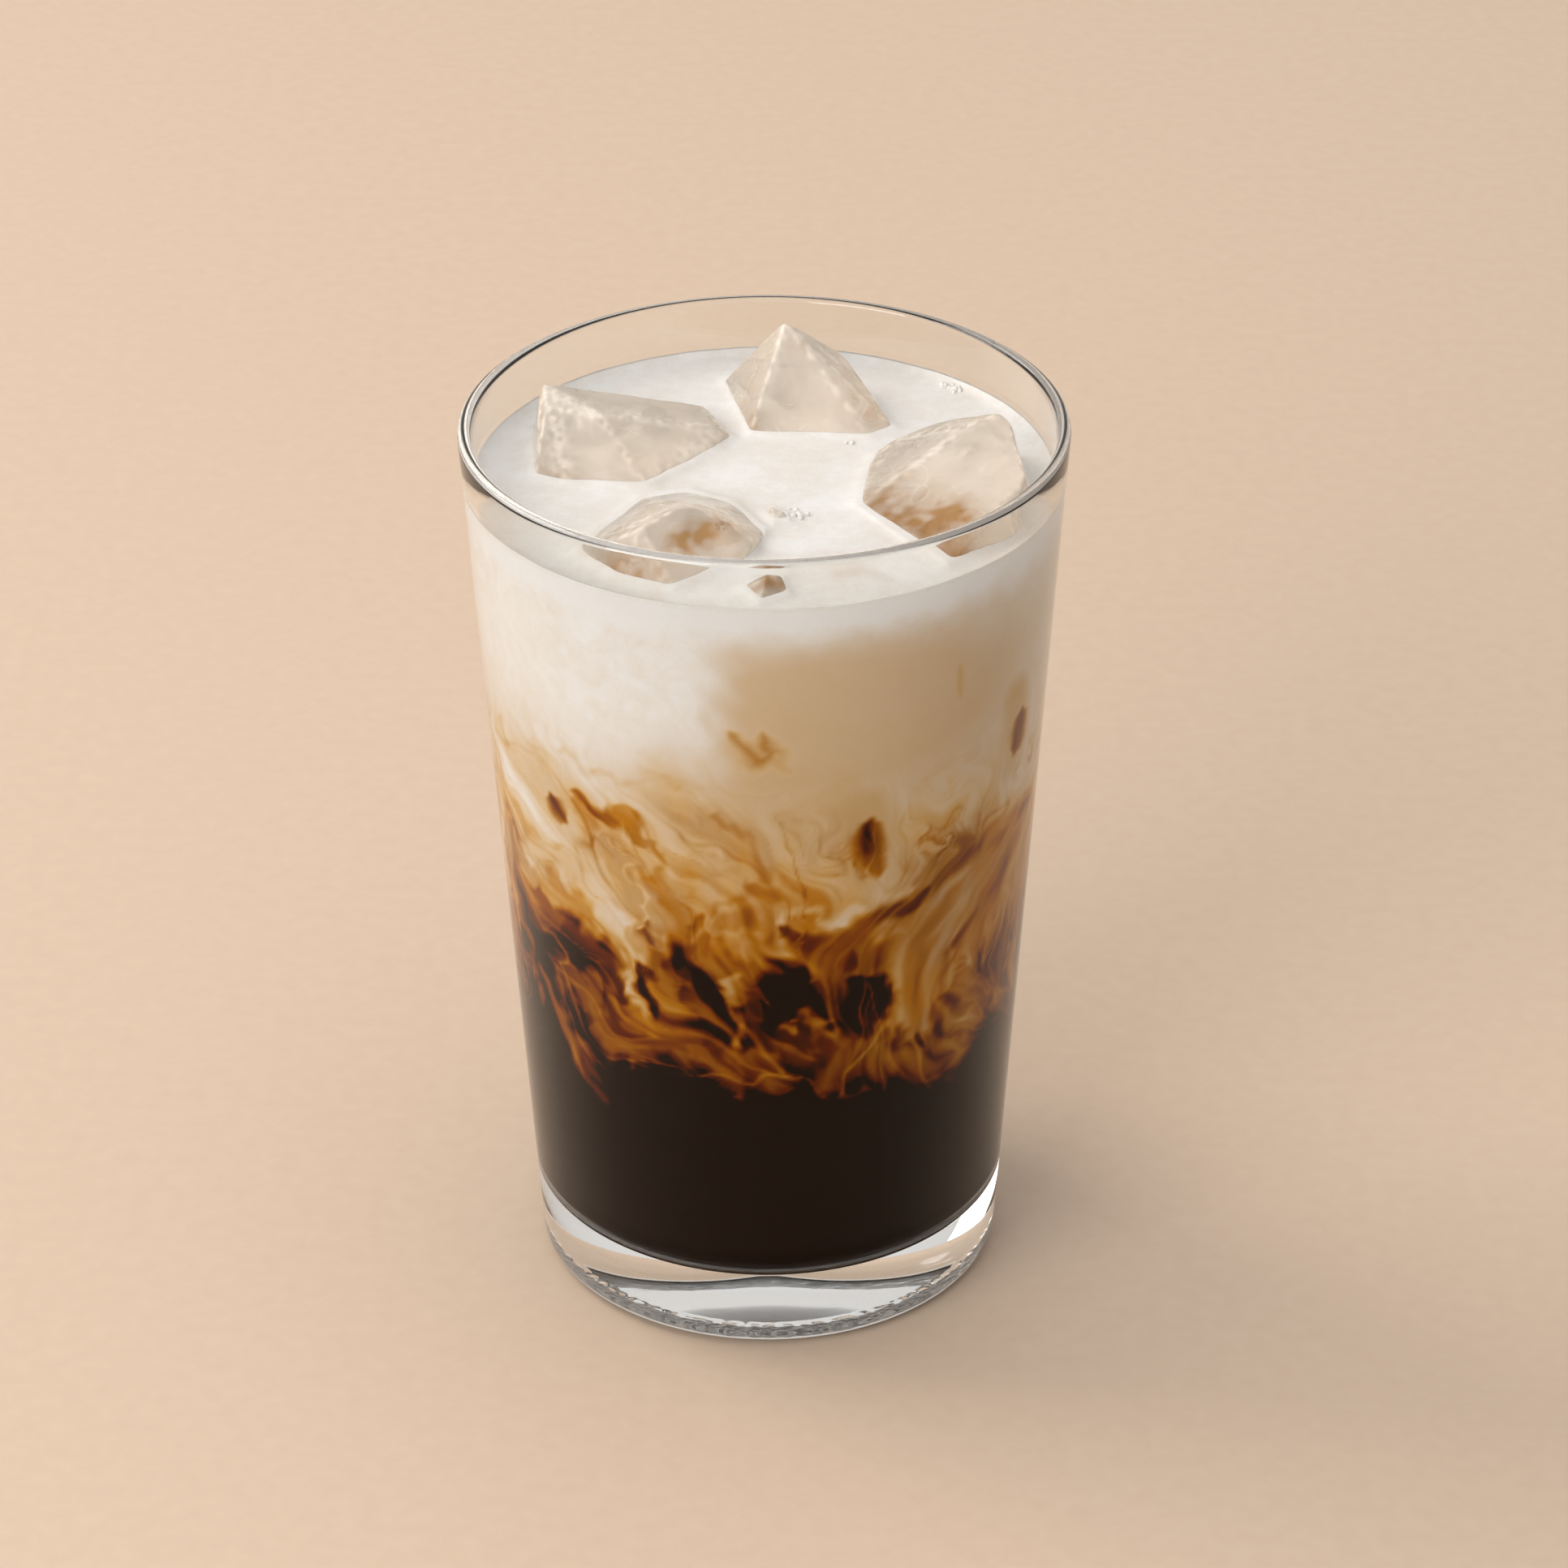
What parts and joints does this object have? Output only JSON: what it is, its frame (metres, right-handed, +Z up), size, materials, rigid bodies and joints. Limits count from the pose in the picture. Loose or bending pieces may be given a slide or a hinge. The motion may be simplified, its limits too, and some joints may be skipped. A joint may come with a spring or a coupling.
{
  "type": "iced latte",
  "caption": "Tall clear glass tumbler of iced latte: dark coffee below, marbled swirls above it, white milk on top with blocks of clear ice standing out of it.",
  "frame": {"origin": "centre of the glass at the plane it stands on", "axes": "+Z up along the axis of the glass, -Y towards the side seen from the front"},
  "size_m": [0.0848, 0.0848, 0.137],
  "materials": {
    "glass": "clear polished tumbler glass",
    "coffee": "black coffee, liquid",
    "swirl": "milk marbling into coffee, liquid",
    "milk": "whole milk, liquid",
    "ice": "clear wet ice"
  },
  "bodies": {
    "root": {"glass": "glass", "coffee": "coffee", "swirl": "swirl", "milk": "milk", "ice_left": "ice", "ice_back": "ice", "ice_right": "ice", "ice_front": "ice", "ice_chip_front": "ice", "ice_chip_middle": "ice"}
  },
  "joints": []
}
